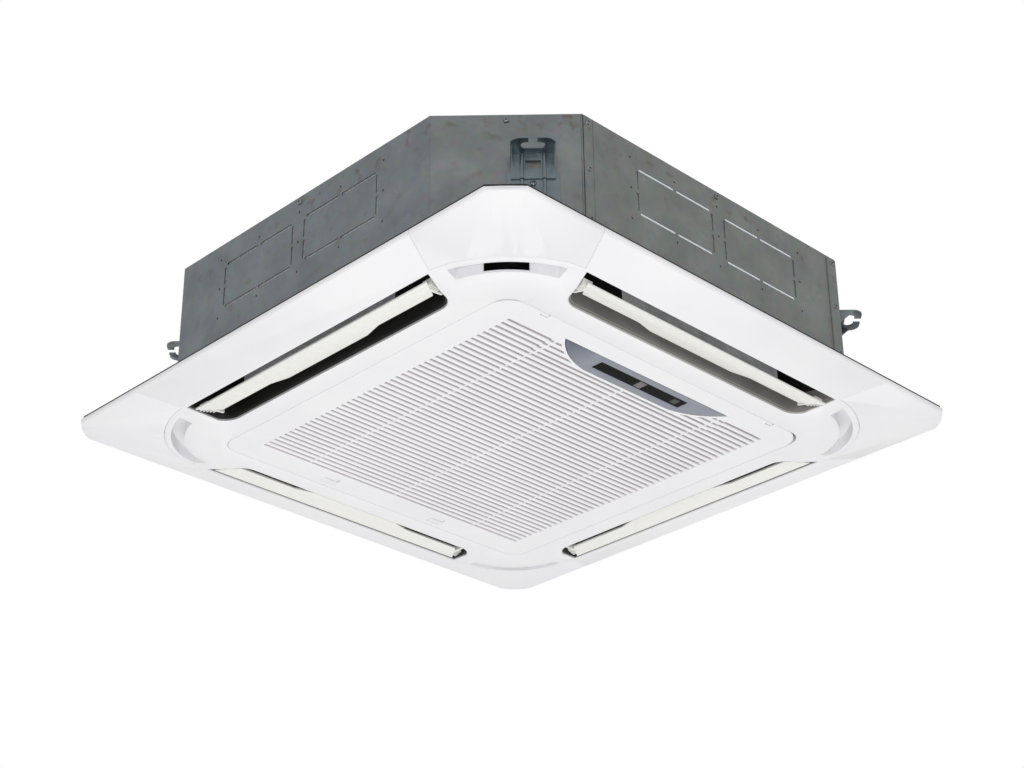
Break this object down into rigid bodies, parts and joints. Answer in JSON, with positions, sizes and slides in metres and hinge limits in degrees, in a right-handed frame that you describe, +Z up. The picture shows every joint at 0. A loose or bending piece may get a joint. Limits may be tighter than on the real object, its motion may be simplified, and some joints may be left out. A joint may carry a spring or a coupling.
{
  "type": "ceiling cassette air conditioner",
  "caption": "Ceiling-hung cassette air conditioner: galvanised casing on hanger brackets and a square white panel with a hinged slatted intake grille, swinging outlet louvers and a display.",
  "frame": {"origin": "centre of the rectangle of hanger slots, on the plane under the hanger legs where the rod washers bear", "axes": "+Z up, -Y the side with the display and the grille's hinge, +X to the right seen from that side"},
  "size_m": [0.95, 0.95, 0.249],
  "materials": {
    "galvanised_sheet": "satin",
    "zinc_screws": "satin",
    "panel_plastic": "satin",
    "louver_plastic": "matte",
    "grey_foam": "matte",
    "expanded_foam": "matte",
    "black_rubber": "matte",
    "fan_plastic": "satin",
    "duct_plastic": "satin",
    "fin_pack": "satin",
    "copper": "satin",
    "brass": "polished",
    "hose": "matte",
    "motor_can": "satin",
    "board": "satin",
    "terminal": "satin",
    "display_slate": "satin",
    "display_black": "gloss",
    "receiver_grey": "gloss"
  },
  "bodies": {
    "unit": {"bell_mouth": "duct_plastic", "casing_back_wall": "galvanised_sheet", "casing_front_wall": "galvanised_sheet", "casing_left_sheet": "galvanised_sheet", "casing_right_sheet": "galvanised_sheet", "casing_top": "galvanised_sheet", "coil_bends": "copper", "coil_end_plates": "galvanised_sheet", "coil_fins": "fin_pack", "control_board": "board", "corner_cover_far_left": "panel_plastic", "corner_cover_far_right": "panel_plastic", "corner_cover_near_left": "panel_plastic", "corner_cover_near_right": "panel_plastic", "display_housing": "display_slate", "display_receiver": "receiver_grey", "display_window": "display_black", "drain_hose": "hose", "drain_pan": "expanded_foam", "drain_plug": "black_rubber", "drain_pump": "duct_plastic", "drain_spigot": "duct_plastic", "electrical_box": "galvanised_sheet", "electrical_cover": "galvanised_sheet", "fan_motor": "motor_can", "float_stem": "duct_plastic", "foam_liner": "grey_foam", "gas_pipe": "copper", "hanger_far_left": "galvanised_sheet", "hanger_far_right": "galvanised_sheet", "hanger_near_left": "galvanised_sheet", "hanger_near_right": "galvanised_sheet", "liquid_pipe": "copper", "louver_motors": "motor_can", "motor_bolts": "zinc_screws", "motor_grommets": "black_rubber", "outlet_liners": "grey_foam", "panel_bolts": "zinc_screws", "panel_frame": "panel_plastic", "panel_seals": "black_rubber", "pipe_plate": "galvanised_sheet", "pipe_unions": "brass", "rim_seal": "black_rubber", "sheet_screws": "zinc_screws", "terminal_block": "terminal", "wiring_pad": "black_rubber"},
    "fan": {"turbo_fan": "fan_plastic", "fan_nut": "zinc_screws"},
    "pump_rotor": {"pump_impeller": "fan_plastic"},
    "float": {"float_ball": "duct_plastic"},
    "grille": {"grille": "panel_plastic", "hinge_pins": "zinc_screws", "intake_filter": "duct_plastic"},
    "latch_left": {"latch_left": "panel_plastic"},
    "latch_right": {"latch_right": "panel_plastic"},
    "louver_front": {"louver_front": "louver_plastic"},
    "louver_right": {"louver_right": "louver_plastic"},
    "louver_back": {"louver_back": "louver_plastic"},
    "louver_left": {"louver_left": "louver_plastic"},
    "manual_button": {"manual_button": "panel_plastic"}
  },
  "joints": [
    {"name": "fan_spin", "type": "hinge", "parent": "unit", "child": "fan", "pos_m": [0, 0, 0], "axis": [0, 0, -1], "continuous": true},
    {"name": "pump_spin", "type": "hinge", "parent": "unit", "child": "pump_rotor", "pos_m": [0.309, 0.309, 0], "axis": [0, 0, 1], "continuous": true},
    {"name": "float_rise", "type": "slide", "parent": "unit", "child": "float", "axis": [0, 0, 1], "range_m": [0, 0.012]},
    {"name": "grille_hinge", "type": "hinge", "parent": "unit", "child": "grille", "pos_m": [0, -0.304, -0.1795], "axis": [-1, 0, 0], "range_deg": [0, 88]},
    {"name": "latch_left_slide", "type": "slide", "parent": "grille", "child": "latch_left", "axis": [0, -1, 0], "range_m": [0, 0.008]},
    {"name": "latch_right_slide", "type": "slide", "parent": "grille", "child": "latch_right", "axis": [0, -1, 0], "range_m": [0, 0.008]},
    {"name": "louver_front_swing", "type": "hinge", "parent": "unit", "child": "louver_front", "pos_m": [0, -0.366, -0.164], "axis": [-1, 0, 0], "range_deg": [-26, 30]},
    {"name": "louver_right_swing", "type": "hinge", "parent": "unit", "child": "louver_right", "pos_m": [0.366, 0, -0.164], "axis": [0, -1, 0], "range_deg": [-40, 16]},
    {"name": "louver_back_swing", "type": "hinge", "parent": "unit", "child": "louver_back", "pos_m": [0, 0.366, -0.164], "axis": [1, 0, 0], "range_deg": [-40, 16]},
    {"name": "louver_left_swing", "type": "hinge", "parent": "unit", "child": "louver_left", "pos_m": [-0.366, 0, -0.164], "axis": [0, 1, 0], "range_deg": [-34, 22]},
    {"name": "button_press", "type": "slide", "parent": "unit", "child": "manual_button", "axis": [0, 0, 1], "range_m": [0, 0.0008], "stiffness_N_per_m": 600}
  ]
}
